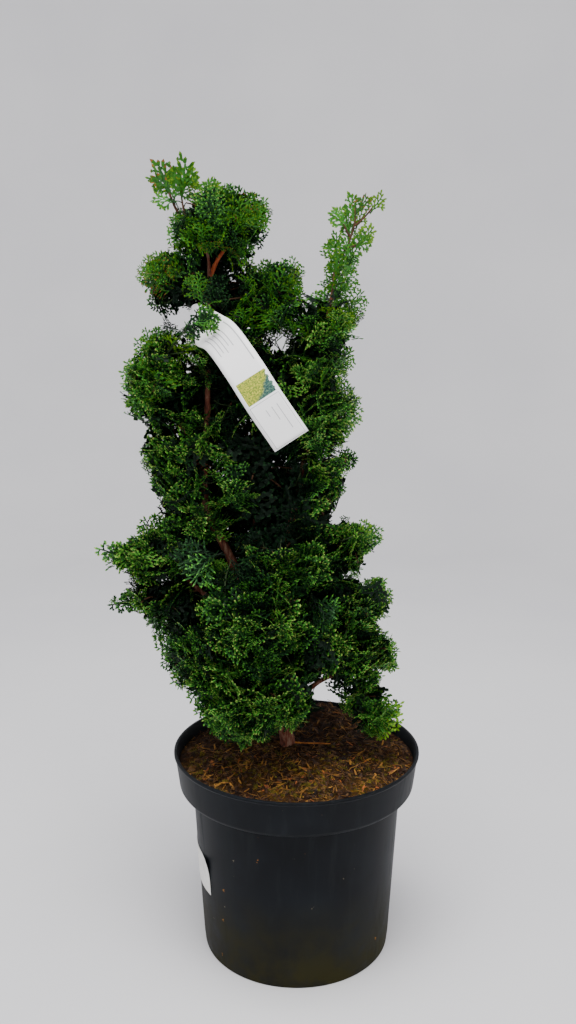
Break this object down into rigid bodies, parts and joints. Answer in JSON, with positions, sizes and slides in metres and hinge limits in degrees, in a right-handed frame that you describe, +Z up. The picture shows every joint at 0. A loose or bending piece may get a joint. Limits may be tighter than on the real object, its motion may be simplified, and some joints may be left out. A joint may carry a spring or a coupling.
{
  "type": "potted hinoki cypress",
  "caption": "Dense upright garden conifer with flat fan-shaped sprays on forked leaning stems, in a round black plastic nursery pot of soil, with a blank hang tag.",
  "frame": {"origin": "centre of the pot's flat underside", "axes": "+Z up along the pot's axis; -Y is the front, the side on which the hang tag hangs; +X is the viewer's right"},
  "size_m": [0.327, 0.258, 0.8122],
  "materials": {
    "pot_plastic": "satin charcoal injection-moulded polypropylene",
    "soil": "loose moist peat and bark compost",
    "bark": "thin fibrous red-brown bark",
    "tag": "satin white tag film",
    "foliage": "green scale leaves in flat sprays"
  },
  "bodies": {
    "root": {"pot": "pot_plastic", "soil": "soil", "hang_tag": "tag", "trunk": "bark", "right_stem": "bark", "middle_stem": "bark", "top_fork": "bark", "left_shoulder_bough": "bark", "left_upper_bough": "bark", "left_wing_bough": "bark", "left_skirt_bough": "bark", "front_bough": "bark", "right_wing_bough": "bark", "right_skirt_bough": "bark", "back_left_bough": "bark", "back_right_bough": "bark", "back_upper_bough": "bark", "top_twin_sprays": "foliage", "crown_head": "foliage", "left_shoulder": "foliage", "head_back": "foliage", "middle_head": "foliage", "right_plume": "foliage", "right_shoulder": "foliage", "right_flank": "foliage", "right_waist": "foliage", "right_spur": "foliage", "left_upper": "foliage", "left_middle": "foliage", "centre_upper": "foliage", "centre_middle": "foliage", "left_wing": "foliage", "left_wing_low": "foliage", "left_skirt": "foliage", "front_middle": "foliage", "front_fan": "foliage", "front_skirt": "foliage", "front_right": "foliage", "right_wing_top": "foliage", "right_wing": "foliage", "right_wing_low": "foliage", "right_skirt": "foliage", "back_low_left": "foliage", "back_low_right": "foliage", "back_middle_left": "foliage", "back_middle_right": "foliage", "back_upper_left": "foliage", "back_upper_right": "foliage"}
  },
  "joints": []
}
